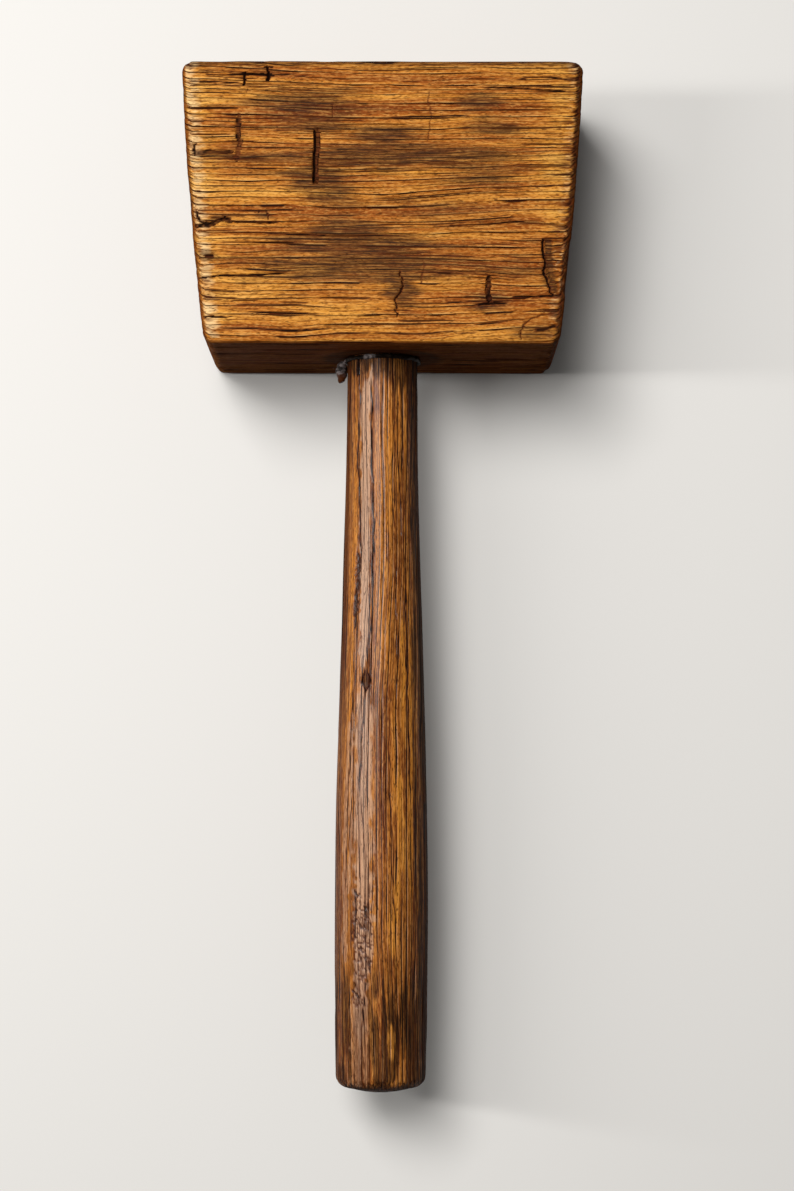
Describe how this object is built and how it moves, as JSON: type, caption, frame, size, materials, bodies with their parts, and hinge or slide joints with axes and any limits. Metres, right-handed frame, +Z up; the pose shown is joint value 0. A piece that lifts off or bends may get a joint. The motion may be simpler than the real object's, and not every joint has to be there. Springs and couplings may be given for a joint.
{
  "type": "carpenter mallet",
  "caption": "Wooden carpenter's mallet: a block head, wider at its crown, wedged on a round turned handle, for driving chisels and closing joints.",
  "frame": {"origin": "centre of the back face of the head, the face that the mallet lies on", "axes": "+X across the head from one striking face to the other, +Y from the butt up the handle to the crown, +Z up out of the front face of the head"},
  "size_m": [0.1404, 0.3595, 0.068],
  "materials": {
    "head_wood": "oiled satin",
    "handle_wood": "varnished satin",
    "wedge_wood": "oiled satin",
    "hide_glue": "gloss"
  },
  "bodies": {
    "root": {"head": "head_wood", "handle": "handle_wood", "wedge_left": "wedge_wood", "wedge_right": "wedge_wood", "glue_bead": "hide_glue"}
  },
  "joints": []
}
